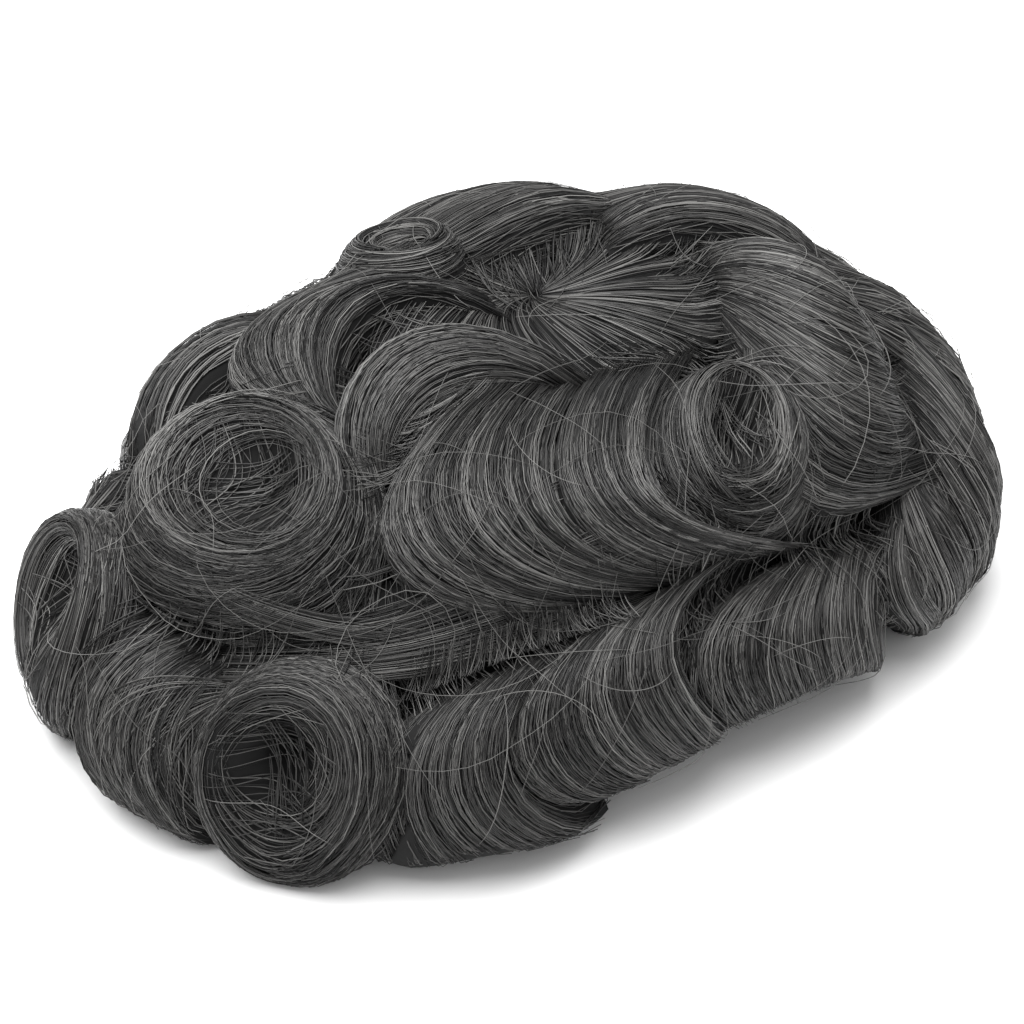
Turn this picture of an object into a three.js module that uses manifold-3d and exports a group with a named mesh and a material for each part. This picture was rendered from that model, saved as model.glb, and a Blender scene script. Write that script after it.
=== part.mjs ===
// A toupee of wavy grey hair, lying on a table as it keeps its own form: a hollow cap of lace with a bound border, the
// close hair that grows from it, and the locks and curls that are combed over that. Millimetres, +Z up, the front
// hairline faces -Y and the origin is on the table under the middle.
import * as THREE from "three";
import { mergeVertices } from "three/addons/utils/BufferGeometryUtils.js";
import Module from "manifold-3d";

const wasm = await Module();
wasm.setup();

// Driving sizes of the cap that the hair is knotted to.
const capHalfWidth = 84;
const capHalfLength = 112;
const capRise = 50; // from its widest level up to the crown
const capDrop = 20; // from its widest level down to where its sides would close
const capLevel = 17; // the widest level above the table
const capWall = 1.2;
const capReach = 1.25; // where its rim lies on the scalp map, 1 being the widest level
const borderRise = 20; // from its widest level up to where its bound border meets the lace

// Driving sizes of the hair.
const hairDepth = 36; // the tallest crest above the cap
const bedDepth = 7; // the close hair next to the cap
const edgeDrop = 4; // how far the outline of a lock falls away
const seatGap = 0.3; // between neighbouring solids
const tableSize = 1000;

// Shapes of the crests.
const shoulder = 0.35; // the part of a lock's width over which its crest rises at either edge
const waveRoundness = 0.8; // below 1 a crest is broad, above 1 it is peaked
const crestOut = 0.6; // where a curl's crest lies between its eye and its rim
const dimpleRoundness = 1.2;

// Mesh steps.
const stepsRound = 26;
const stepsDown = 7;
const stepsAlong = 8;
const stepsAcross = 5;
const curlStepsRound = 16;
const curlStepsOut = 5;

// Colours.
const hairGrey = 0x4a4947;
const rootGrey = 0x333332;
const laceTone = 0x8a7f74;
const borderTone = 0x6f665d;

// Locks that sweep from a row of roots to a row of tips. Each gives its first and last strand by their root, bend,
// turn and tip on the scalp map, the lifts of root, crest and tip as shares of hairDepth, and how much of the
// crest is left at its first and last strand. A lock with a higher layer lies over those with a lower one.
const sweeps = [
  {
    name: "parting_sweep", layer: 2, rootLift: 0.31, crestLift: 0.45, tipLift: 0.31, firstEnd: 0.8, lastEnd: 0.8,
    first: { root: [0.64, -0.08], bend: [0.54, -0.5], turn: [0.44, -0.6], tip: [0.2, -0.76] },
    last: { root: [0.34, -0.02], bend: [0.34, -0.34], turn: [0.3, -0.46], tip: [0.1, -0.6] },
  },
  {
    name: "front_roll", layer: 3, rootLift: 0.4, crestLift: 0.84, tipLift: 0.56, firstEnd: 0.75, lastEnd: 0.95,
    first: { root: [0.53, -0.57], bend: [0.52, -0.7], turn: [0.52, -0.76], tip: [0.78, -0.9] },
    last: { root: [0.6, -0.23], bend: [0.61, -0.56], turn: [0.8, -0.56], tip: [1.03, -0.38] },
  },
  {
    name: "temple_roll", layer: 4, rootLift: 0.4, crestLift: 0.68, tipLift: 0.3, firstEnd: 1, lastEnd: 0.8,
    first: { root: [0.6, -0.23], bend: [0.61, -0.55], turn: [0.8, -0.55], tip: [1.04, -0.36] },
    last: { root: [0.6, 0.08], bend: [0.65, -0.26], turn: [0.9, -0.12], tip: [1.03, -0.02] },
  },
  {
    name: "side_roll", layer: 5, rootLift: 0.34, crestLift: 0.6, tipLift: 0.38, firstEnd: 0.9, lastEnd: 0.9,
    first: { root: [0.66, 0.19], bend: [0.67, -0.1], turn: [0.78, -0.2], tip: [1.02, -0.03] },
    last: { root: [0.68, 0.46], bend: [0.86, 0.26], turn: [1, 0.4], tip: [1.01, 0.58] },
  },
  {
    name: "side_hook", layer: 6, rootLift: 0.5, crestLift: 0.7, tipLift: 0.5, firstEnd: 0.9, lastEnd: 0.9,
    first: { root: [0.58, 0.46], bend: [0.86, 0.2], turn: [0.87, 0.42], tip: [0.94, 0.65] },
    last: { root: [0.6, 0.5], bend: [0.87, 0.3], turn: [0.87, 0.6], tip: [0.81, 0.82] },
  },
  {
    name: "nape_fall_low", layer: 7, rootLift: 0.6, crestLift: 0.83, tipLift: 0.62, firstEnd: 0.85, lastEnd: 0.9,
    first: { root: [0.57, 0.44], bend: [0.76, 0.34], turn: [0.78, 0.38], tip: [0.93, 0.66] },
    last: { root: [0.48, 0.52], bend: [0.73, 0.48], turn: [0.7, 0.6], tip: [0.8, 0.82] },
  },
  {
    name: "nape_fall_high", layer: 8, rootLift: 0.66, crestLift: 0.92, tipLift: 0.74, firstEnd: 0.95, lastEnd: 0.85,
    first: { root: [0.48, 0.52], bend: [0.72, 0.48], turn: [0.7, 0.58], tip: [0.82, 0.8] },
    last: { root: [0.04, 0.72], bend: [0.48, 0.6], turn: [0.46, 0.68], tip: [0.56, 0.99] },
  },
  {
    name: "nape_roll_right", layer: 5, rootLift: 0.45, crestLift: 0.86, tipLift: 0.62, firstEnd: 0.85, lastEnd: 0.95,
    first: { root: [0.22, 0.5], bend: [0.38, 0.68], turn: [0.5, 0.84], tip: [0.5, 1.02] },
    last: { root: [-0.1, 0.58], bend: [0, 0.76], turn: [0.04, 0.94], tip: [0.08, 1.12] },
  },
  {
    name: "nape_roll_left", layer: 4, rootLift: 0.45, crestLift: 0.84, tipLift: 0.66, firstEnd: 0.9, lastEnd: 0.85,
    first: { root: [-0.06, 0.58], bend: [0.02, 0.76], turn: [0.05, 0.94], tip: [0.08, 1.12] },
    last: { root: [-0.4, 0.46], bend: [-0.46, 0.66], turn: [-0.54, 0.82], tip: [-0.52, 1.02] },
  },
  {
    name: "left_back_roll", layer: 5, rootLift: 0.42, crestLift: 0.78, tipLift: 0.62, firstEnd: 0.85, lastEnd: 0.85,
    first: { root: [-0.36, 0.5], bend: [-0.48, 0.68], turn: [-0.56, 0.82], tip: [-0.52, 1] },
    last: { root: [-0.5, 0.02], bend: [-0.74, 0.1], turn: [-0.94, 0.2], tip: [-1.06, 0.36] },
  },
  {
    name: "left_side_roll", layer: 4, rootLift: 0.42, crestLift: 0.72, tipLift: 0.45, firstEnd: 0.9, lastEnd: 0.9,
    first: { root: [-0.5, 0.08], bend: [-0.74, 0.14], turn: [-0.94, 0.22], tip: [-1.08, 0.34] },
    last: { root: [-0.5, -0.26], bend: [-0.74, -0.28], turn: [-0.96, -0.24], tip: [-1.12, -0.14] },
  },
  {
    name: "left_front_roll", layer: 3, rootLift: 0.42, crestLift: 0.6, tipLift: 0.4, firstEnd: 0.9, lastEnd: 0.75,
    first: { root: [-0.48, -0.2], bend: [-0.74, -0.26], turn: [-0.96, -0.2], tip: [-1.12, -0.12] },
    last: { root: [-0.36, -0.5], bend: [-0.56, -0.58], turn: [-0.8, -0.62], tip: [-0.96, -0.58] },
  },
  {
    name: "front_left_roll", layer: 4, rootLift: 0.44, crestLift: 0.9, tipLift: 0.68, firstEnd: 0.9, lastEnd: 0.9,
    first: { root: [-0.06, -0.75], bend: [-0.14, -0.88], turn: [-0.11, -1], tip: [0.1, -1.13] },
    last: { root: [0.19, -0.72], bend: [0.17, -0.88], turn: [0.22, -0.94], tip: [0.44, -1.03] },
  },
  {
    name: "left_bump", layer: 6, rootLift: 0.66, crestLift: 0.8, tipLift: 0.6, firstEnd: 1, lastEnd: 0.7,
    first: { root: [-0.34, -0.24], bend: [-0.39, -0.32], turn: [-0.38, -0.4], tip: [-0.33, -0.5] },
    last: { root: [-0.54, -0.16], bend: [-0.62, -0.26], turn: [-0.62, -0.42], tip: [-0.52, -0.56] },
  },
  {
    name: "far_strip", layer: 8, rootLift: 0.7, crestLift: 0.94, tipLift: 0.8, firstEnd: 1, lastEnd: 0.6,
    first: { root: [-0.26, 0], bend: [-0.24, 0.12], turn: [-0.24, 0.26], tip: [-0.28, 0.42] },
    last: { root: [-0.56, -0.06], bend: [-0.62, 0.1], turn: [-0.64, 0.26], tip: [-0.56, 0.44] },
  },
  {
    name: "back_strip", layer: 9, rootLift: 0.7, crestLift: 0.92, tipLift: 0.78, firstEnd: 1, lastEnd: 0.7,
    first: { root: [-0.16, 0.27], bend: [-0.14, 0.38], turn: [-0.1, 0.48], tip: [0.02, 0.6] },
    last: { root: [-0.42, 0.36], bend: [-0.46, 0.52], turn: [-0.38, 0.68], tip: [-0.14, 0.8] },
  },
  {
    name: "crown_arch", layer: 9, rootLift: 0.6, crestLift: 0.86, tipLift: 0.42, firstEnd: 0.85, lastEnd: 0.9,
    first: { root: [-0.39, 0.08], bend: [-0.44, -0.4], turn: [-0.3, -0.4], tip: [-0.12, -0.34] },
    last: { root: [-0.05, 0.02], bend: [-0.32, -0.02], turn: [-0.28, -0.24], tip: [-0.04, -0.29] },
  },
  {
    name: "crown_hook", layer: 9, rootLift: 0.5, crestLift: 0.78, tipLift: 0.55, firstEnd: 0.9, lastEnd: 0.8,
    first: { root: [0.16, 0.31], bend: [0.52, 0.06], turn: [0.68, 0.13], tip: [0.6, 0.5] },
    last: { root: [0.2, 0.36], bend: [0.45, 0.2], turn: [0.58, 0.27], tip: [0.52, 0.52] },
  },
  {
    name: "lower_arch", layer: 10, rootLift: 0.56, crestLift: 0.88, tipLift: 0.38, firstEnd: 1, lastEnd: 0.6,
    first: { root: [0.17, 0.03], bend: [-0.26, -0.08], turn: [-0.03, -0.38], tip: [0.1, -0.36] },
    last: { root: [0.16, -0.03], bend: [0.08, -0.12], turn: [0.06, -0.26], tip: [0.12, -0.3] },
  },
  {
    name: "top_roll_front", layer: 10, rootLift: 0.5, crestLift: 0.86, tipLift: 0.36, firstEnd: 0.8, lastEnd: 1,
    first: { root: [0.08, -0.14], bend: [0.16, -0.5], turn: [0.42, -0.48], tip: [0.54, -0.26] },
    last: { root: [0.12, 0.06], bend: [0.32, -0.22], turn: [0.47, -0.26], tip: [0.61, -0.02] },
  },
  {
    name: "top_roll_back", layer: 11, rootLift: 0.5, crestLift: 0.9, tipLift: 0.36, firstEnd: 1, lastEnd: 0.8,
    first: { root: [0.12, 0.06], bend: [0.33, -0.22], turn: [0.48, -0.26], tip: [0.61, -0.02] },
    last: { root: [0.15, 0.25], bend: [0.5, -0.26], turn: [0.61, 0.02], tip: [0.66, 0.26] },
  },
  {
    name: "crown_roll", layer: 12, rootLift: 0.56, crestLift: 0.96, tipLift: 0.76, firstEnd: 0.8, lastEnd: 0.9,
    first: { root: [-0.12, 0.42], bend: [-0.04, 0.46], turn: [0.02, 0.5], tip: [0.06, 0.56] },
    last: { root: [0.12, 0.3], bend: [0.42, 0.18], turn: [0.66, 0.26], tip: [0.52, 0.5] },
  },
];

// Round curls, each a mound with a dimple at its eye. The spans are half widths on the scalp map, the lifts are
// shares of hairDepth and tilt is in degrees.
const curls = [
  {
    name: "crown_whorl", layer: 1, eye: [-0.17, 0.13], centre: [-0.15, 0.14], spanP: 0.34, spanQ: 0.3, tilt: 0,
    eyeLift: 0.3, crestLift: 0.52, footLift: 0.42,
  },
  {
    name: "left_curl", layer: 5, eye: [0, -0.44], centre: [-0.05, -0.52], spanP: 0.34, spanQ: 0.22, tilt: 0,
    eyeLift: 0.36, crestLift: 0.82, footLift: 0.33,
  },
  {
    name: "far_front_curl", layer: 5, eye: [-0.52, -0.72], centre: [-0.56, -0.76], spanP: 0.22, spanQ: 0.22,
    tilt: 30, eyeLift: 0.3, crestLift: 0.6, footLift: 0.4,
  },
  {
    name: "end_curl", layer: 6, eye: [-0.22, -0.77], centre: [-0.28, -0.88], spanP: 0.25, spanQ: 0.23, tilt: 0,
    eyeLift: 0.3, crestLift: 0.92, footLift: 0.55,
  },
  {
    name: "front_ring", layer: 7, eye: [0.4, -0.76], centre: [0.45, -0.81], spanP: 0.23, spanQ: 0.24, tilt: 0,
    eyeLift: 0.3, crestLift: 0.88, footLift: 0.5,
  },
  {
    name: "top_curl", layer: 10, eye: [0.385, 0.146], centre: [0.43, 0.13], spanP: 0.2, spanQ: 0.14, tilt: -20,
    eyeLift: 0.36, crestLift: 0.84, footLift: 0.44,
  },
  {
    name: "far_small_curl", layer: 10, eye: [-0.33, 0], centre: [-0.36, 0], spanP: 0.14, spanQ: 0.09, tilt: 0,
    eyeLift: 0.61, crestLift: 0.9, footLift: 0.72,
  },
];

// Scalp map. It lays the cap out flat: p runs to +X and q to the back, the crown is at 0, 0 and the widest level
// at radius 1. Lift is the height over the outer face of the cap.
function scalpPoint(p, q, lift) {
  const radius = Math.max(Math.hypot(p, q), 1e-9);
  const latitude = ((1 - radius) * Math.PI) / 2;
  const level = Math.cos(latitude);
  const rise = Math.sin(latitude);
  const height = rise >= 0 ? capRise : capDrop;
  const across = (level * p) / radius;
  const along = (level * q) / radius;
  const outward = new THREE.Vector3(across / capHalfWidth, along / capHalfLength, rise / height).normalize();
  const point = new THREE.Vector3(capHalfWidth * across, capHalfLength * along, capLevel + height * rise);
  return point.addScaledVector(outward, lift);
}

function mix(from, to, share) {
  return from + (to - from) * share;
}

// Closed solids from grids of points.
function signedVolume(points, faces) {
  return faces.reduce((sum, [a, b, c]) => {
    const cross = new THREE.Vector3().crossVectors(points[b], points[c]);
    return sum + points[a].dot(cross) / 6;
  }, 0);
}

function solidFrom(points, faces) {
  const turned = signedVolume(points, faces) < 0;
  const corners = faces.flatMap(([a, b, c]) => (turned ? [a, c, b] : [a, b, c]));
  return { points, corners };
}

function quad(a, b, c, d) {
  return [
    [a, b, c],
    [a, c, d],
  ];
}

// A sheet with an outer and an inner face, joined along its four sides.
function sheetSolid(outer, inner, rows, columns) {
  const points = [...outer, ...inner];
  const under = rows * columns;
  const at = (row, column) => row * columns + column;
  const faces = [];
  for (let row = 0; row + 1 < rows; row += 1) {
    for (let column = 0; column + 1 < columns; column += 1) {
      const [a, b, c, d] = [at(row, column), at(row + 1, column), at(row + 1, column + 1), at(row, column + 1)];
      faces.push(...quad(a, b, c, d), ...quad(d + under, c + under, b + under, a + under));
    }
  }
  for (let row = 0; row + 1 < rows; row += 1) {
    const [a, b] = [at(row, 0), at(row + 1, 0)];
    const [c, d] = [at(row, columns - 1), at(row + 1, columns - 1)];
    faces.push(...quad(b, a, a + under, b + under), ...quad(c, d, d + under, c + under));
  }
  for (let column = 0; column + 1 < columns; column += 1) {
    const [a, b] = [at(0, column), at(0, column + 1)];
    const [c, d] = [at(rows - 1, column), at(rows - 1, column + 1)];
    faces.push(...quad(a, b, b + under, a + under), ...quad(d, c, c + under, d + under));
  }
  return solidFrom(points, faces);
}

// A round body with an outer and an inner face, each a middle point with rings about it, joined at the rim.
function discSolid(outer, inner, rings, steps) {
  const points = [...outer, ...inner];
  const under = 1 + rings * steps;
  const at = (ring, step) => 1 + ring * steps + (step % steps);
  const faces = [];
  for (let step = 0; step < steps; step += 1) {
    faces.push([0, at(0, step), at(0, step + 1)], [under, at(0, step + 1) + under, at(0, step) + under]);
    for (let ring = 0; ring + 1 < rings; ring += 1) {
      const [a, b, c, d] = [at(ring, step), at(ring + 1, step), at(ring + 1, step + 1), at(ring, step + 1)];
      faces.push(...quad(a, b, c, d), ...quad(d + under, c + under, b + under, a + under));
    }
    const [a, b] = [at(rings - 1, step), at(rings - 1, step + 1)];
    faces.push(...quad(b, a, a + under, b + under));
  }
  return solidFrom(points, faces);
}

function domePoints(lift) {
  const points = [scalpPoint(0, 0, lift)];
  for (let ring = 1; ring <= stepsDown; ring += 1) {
    const radius = (capReach * ring) / stepsDown;
    for (let step = 0; step < stepsRound; step += 1) {
      const angle = (2 * Math.PI * step) / stepsRound;
      points.push(scalpPoint(radius * Math.cos(angle), radius * Math.sin(angle), lift));
    }
  }
  return points;
}

// A hollow dome over the crown, between two lifts and open underneath.
function domeShell(innerLift, outerLift) {
  return discSolid(domePoints(outerLift), domePoints(innerLift), stepsDown, stepsRound);
}

// All the room under a dome, straight down from its rim to below the table.
function domeRoom(lift) {
  const outer = domePoints(lift);
  const rim = outer.slice(-stepsRound);
  const inner = [new THREE.Vector3(0, 0, -capDrop)];
  for (let ring = 1; ring <= stepsDown; ring += 1) {
    const share = ring / stepsDown;
    inner.push(...rim.map((edge) => new THREE.Vector3(edge.x * share, edge.y * share, -capDrop)));
  }
  return discSolid(outer, inner, stepsDown, stepsRound);
}

// Locks.
function strandPoint(strand, share) {
  const back = 1 - share;
  return [0, 1].map(
    (axis) =>
      back ** 3 * strand.root[axis] +
      3 * share * back ** 2 * strand.bend[axis] +
      3 * share ** 2 * back * strand.turn[axis] +
      share ** 3 * strand.tip[axis],
  );
}

function crestShare(lock, across) {
  if (across < shoulder) {
    return mix(lock.firstEnd, 1, Math.sin((Math.PI / 2) * (across / shoulder)));
  }
  if (across > 1 - shoulder) {
    return mix(lock.lastEnd, 1, Math.sin((Math.PI / 2) * ((1 - across) / shoulder)));
  }
  return 1;
}

function sweepLift(lock, along, across) {
  const ends = mix(lock.rootLift, lock.tipLift, along);
  const swell = lock.crestLift - (lock.rootLift + lock.tipLift) / 2;
  const wave = Math.sin(Math.PI * along) ** waveRoundness;
  return hairDepth * (ends + swell * crestShare(lock, across) * wave);
}

function sweepSolid(lock) {
  const outer = [];
  const inner = [];
  for (let row = 0; row <= stepsAlong; row += 1) {
    for (let column = 0; column <= stepsAcross; column += 1) {
      const along = row / stepsAlong;
      const across = column / stepsAcross;
      const first = strandPoint(lock.first, along);
      const last = strandPoint(lock.last, along);
      const p = mix(first[0], last[0], across);
      const q = mix(first[1], last[1], across);
      const border = row === 0 || row === stepsAlong || column === 0 || column === stepsAcross;
      const crest = sweepLift(lock, along, across);
      outer.push(scalpPoint(p, q, crest - (border ? edgeDrop : 0)));
      inner.push(scalpPoint(p, q, bedDepth / 2));
    }
  }
  return sheetSolid(outer, inner, stepsAlong + 1, stepsAcross + 1);
}

function curlLift(curl, out) {
  if (out < crestOut) {
    const climb = Math.sin((Math.PI / 2) * (out / crestOut)) ** dimpleRoundness;
    return hairDepth * mix(curl.eyeLift, curl.crestLift, climb);
  }
  const fall = 1 - Math.cos(((Math.PI / 2) * (out - crestOut)) / (1 - crestOut));
  return hairDepth * mix(curl.crestLift, curl.footLift, fall);
}

function curlSolid(curl) {
  const outer = [];
  const inner = [];
  const tilt = THREE.MathUtils.degToRad(curl.tilt);
  const place = (out, angle) => {
    const spanP = curl.spanP * out * Math.cos(angle);
    const spanQ = curl.spanQ * out * Math.sin(angle);
    const p = mix(curl.eye[0], curl.centre[0], out) + spanP * Math.cos(tilt) - spanQ * Math.sin(tilt);
    const q = mix(curl.eye[1], curl.centre[1], out) + spanP * Math.sin(tilt) + spanQ * Math.cos(tilt);
    const lift = curlLift(curl, out);
    outer.push(scalpPoint(p, q, lift));
    inner.push(scalpPoint(p, q, bedDepth / 2));
  };
  place(0, 0);
  for (let ring = 1; ring <= curlStepsOut; ring += 1) {
    for (let step = 0; step < curlStepsRound; step += 1) {
      place(ring / curlStepsOut, (2 * Math.PI * step) / curlStepsRound);
    }
  }
  return discSolid(outer, inner, curlStepsOut, curlStepsRound);
}

// Cutting the locks to seat against each other, the bed and the table.
function asManifold({ points, corners }) {
  return new wasm.Manifold(
    new wasm.Mesh({
      numProp: 3,
      vertProperties: new Float32Array(points.flatMap((point) => [point.x, point.y, point.z])),
      triVerts: new Uint32Array(corners),
    }),
  );
}

const leastLean = 0.35; // at a sharper corner than this a grown body stays inside its full offset

// The same body with every face moved outward.
function grown({ points, corners }, distance) {
  const normals = [];
  const around = points.map(() => []);
  for (let corner = 0; corner < corners.length; corner += 3) {
    const [a, b, c] = corners.slice(corner, corner + 3);
    const edgeOne = points[b].clone().sub(points[a]);
    const edgeTwo = points[c].clone().sub(points[a]);
    const normal = edgeOne.cross(edgeTwo).normalize();
    normals.push(normal);
    [a, b, c].forEach((index) => around[index].push(normal));
  }
  const moved = points.map((point, index) => {
    const outward = around[index].reduce((sum, normal) => sum.add(normal), new THREE.Vector3()).normalize();
    const leanest = Math.min(...around[index].map((normal) => normal.dot(outward)));
    return point.clone().addScaledVector(outward, distance / Math.max(leanest, leastLean));
  });
  return { points: moved, corners };
}

function largestBody(solid) {
  const bodies = solid.decompose();
  return bodies.reduce((best, body) => (body.volume() > best.volume() ? body : best));
}

function meshOf(name, solid, colour) {
  const { vertProperties, triVerts } = solid.getMesh();
  const geometry = new THREE.BufferGeometry();
  geometry.setAttribute("position", new THREE.BufferAttribute(new Float32Array(vertProperties), 3));
  geometry.setIndex(new THREE.BufferAttribute(new Uint32Array(triVerts), 1));
  geometry.computeVertexNormals();
  const material = new THREE.MeshStandardMaterial({ color: colour, roughness: 0.7, metalness: 0 });
  const mesh = new THREE.Mesh(geometry, material);
  mesh.name = name;
  return mesh;
}

function boxSolid(width, length, height, centreHeight) {
  const box = new THREE.BoxGeometry(width, length, height);
  box.deleteAttribute("normal");
  box.deleteAttribute("uv");
  const merged = mergeVertices(box.translate(0, 0, centreHeight));
  const place = merged.getAttribute("position");
  const points = [];
  for (let index = 0; index < place.count; index += 1) {
    points.push(new THREE.Vector3().fromBufferAttribute(place, index));
  }
  return { points, corners: [...merged.getIndex().array] };
}

const locks = [
  ...sweeps.map((lock) => ({ ...lock, body: sweepSolid(lock) })),
  ...curls.map((lock) => ({ ...lock, body: curlSolid(lock) })),
].sort((one, other) => other.layer - one.layer);

const table = asManifold(boxSolid(tableSize, tableSize, capRise, -capRise / 2));
const bedRoom = asManifold(domeRoom(bedDepth + seatGap));

const toupee = new THREE.Group();
toupee.name = "toupee";

const dome = asManifold(domeShell(-capWall, 0));
const seam = capLevel + borderRise;
const lace = dome.trimByPlane([0, 0, 1], seam);
const border = dome.trimByPlane([0, 0, -1], seatGap - seam);
const bed = asManifold(domeShell(seatGap, bedDepth));
toupee.add(meshOf("cap", lace, laceTone), meshOf("cap_border", border, borderTone));
toupee.add(meshOf("root_hair", bed, rootGrey));

const cutters = [];
for (const lock of locks) {
  let solid = asManifold(lock.body).subtract(table).subtract(bedRoom);
  for (const cutter of cutters) {
    solid = solid.subtract(cutter);
  }
  cutters.push(asManifold(grown(lock.body, seatGap)).add(asManifold(lock.body)));
  toupee.add(meshOf(lock.name, largestBody(solid), hairGrey));
}

// The middle of the whole outline goes over the origin, with its lowest faces on the table.
const bounds = new THREE.Box3().setFromObject(toupee);
const middle = bounds.getCenter(new THREE.Vector3());
toupee.position.set(-middle.x, -middle.y, -bounds.min.z);

export default toupee;
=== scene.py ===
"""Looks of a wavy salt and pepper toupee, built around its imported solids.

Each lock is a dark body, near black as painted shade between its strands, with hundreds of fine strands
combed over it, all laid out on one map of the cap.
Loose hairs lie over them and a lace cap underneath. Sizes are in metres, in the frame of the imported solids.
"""

import logging
import math
from collections.abc import Callable
from dataclasses import dataclass, field
from enum import Enum

import bmesh
import bpy
import numpy as np
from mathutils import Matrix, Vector


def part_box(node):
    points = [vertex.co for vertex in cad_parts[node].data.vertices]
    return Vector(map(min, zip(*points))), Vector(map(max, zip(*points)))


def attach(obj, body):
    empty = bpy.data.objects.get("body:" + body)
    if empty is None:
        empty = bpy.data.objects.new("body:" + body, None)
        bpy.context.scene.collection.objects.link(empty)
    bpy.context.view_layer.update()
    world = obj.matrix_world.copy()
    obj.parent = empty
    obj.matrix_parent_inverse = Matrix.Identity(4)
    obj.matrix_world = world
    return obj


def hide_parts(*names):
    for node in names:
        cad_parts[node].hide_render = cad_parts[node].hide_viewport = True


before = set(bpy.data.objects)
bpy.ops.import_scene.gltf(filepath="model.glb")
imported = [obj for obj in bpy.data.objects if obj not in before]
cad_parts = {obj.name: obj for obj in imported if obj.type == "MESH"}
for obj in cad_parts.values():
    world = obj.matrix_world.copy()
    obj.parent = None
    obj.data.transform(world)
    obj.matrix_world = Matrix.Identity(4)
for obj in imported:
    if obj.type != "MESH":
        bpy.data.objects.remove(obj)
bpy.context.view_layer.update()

MM = 0.001
IMAGE_WIDTH = 1024
TABLE_CLEAR = 0.3 * MM
NO_LENGTH = 1e-12
# Near black for the bodies under the strands: painted shade for the depth of hair seen between them.
BODY_PAINTED_SHADE = -0.25
SHADE = "shade"

Pair = tuple[float, float]
Colour = tuple[float, float, float]
log = logging.getLogger("toupee")


@dataclass(frozen=True)
class ScalpMap:
    """The cap laid out flat, with the crown at 0, 0 and the widest level at radius 1.

    Attributes:
        half_width: Half of the cap's width, in the direction of p and +X.
        half_length: Half of its length, in the direction of q and the back.
        rise: From its widest level up to the crown.
        drop: From its widest level down to where its sides would close.
        wall: The thickness of the lace.
        reach: The radius of its lower edge.
        seam: The radius at which the border starts.
        gap: What is left free between two pieces.
        bed: The height of the close hair over it.
        hair_depth: The height that the lifts of the locks are shares of.
    """

    half_width: float = 84 * MM
    half_length: float = 112 * MM
    rise: float = 50 * MM
    drop: float = 20 * MM
    wall: float = 1.2 * MM
    reach: float = 1.25
    seam: float = 0.738
    gap: float = 0.3 * MM
    bed: float = 7 * MM
    hair_depth: float = 36 * MM

    @property
    def centre(self) -> Vector:
        """The point under the crown, at the cap's widest level."""
        low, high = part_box("cap")
        return Vector(((low.x + high.x) / 2, (low.y + high.y) / 2, high.z - self.rise))

    def place(self, p: np.ndarray, q: np.ndarray, lift: np.ndarray) -> tuple[np.ndarray, np.ndarray]:
        """Find points at a height over the cap, none of them under the table.

        Args:
            p: Map places to +X.
            q: Map places to the back.
            lift: Heights over the cap's outer face.

        Returns:
            The points and the unit normals, each with a last axis of three.
        """
        radius = np.maximum(np.hypot(p, q), NO_LENGTH)
        latitude = (1 - radius) * np.pi / 2
        level, up = np.cos(latitude), np.sin(latitude)
        height = np.where(up >= 0, self.rise, self.drop)
        across, along = level * p / radius, level * q / radius
        points = np.stack([self.half_width * across, self.half_length * along, height * up], -1)
        normals = np.stack([across / self.half_width, along / self.half_length, up / height], -1)
        normals /= np.linalg.norm(normals, axis=-1, keepdims=True)
        points = points + np.array(self.centre) + normals * np.asarray(lift)[..., None]
        points[..., 2] = np.maximum(points[..., 2], TABLE_CLEAR)
        return points, normals


SCALP = ScalpMap()


class Side(Enum):
    """Which side of the hairpiece a lock is on, as the photograph sees it."""

    NEAR = "near"
    FAR = "far"


@dataclass(frozen=True)
class Combing:
    """How the strands of a lock are laid.

    Attributes:
        density: How many there are for each metre of the lock's width.
        steps: How many straight lengths each has.
        width: The thickness of a strand at its middle.
        tuft: The width of the tufts that they gather in.
        gather: How far they close up in their tufts.
        depth: How deep under the combed surface they lie.
        crossing: The share of them that stray to another tuft.
    """

    density: float
    steps: int = 11
    width: float = 0.32 * MM
    tuft: float = 2.6 * MM
    gather: float = 0.5
    depth: float = 1.4 * MM
    crossing: float = 0.1


COMBINGS = {
    Side.NEAR: Combing(density=8700),
    Side.FAR: Combing(density=3000, steps=8, width=0.5 * MM, tuft=4 * MM),
}


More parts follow.
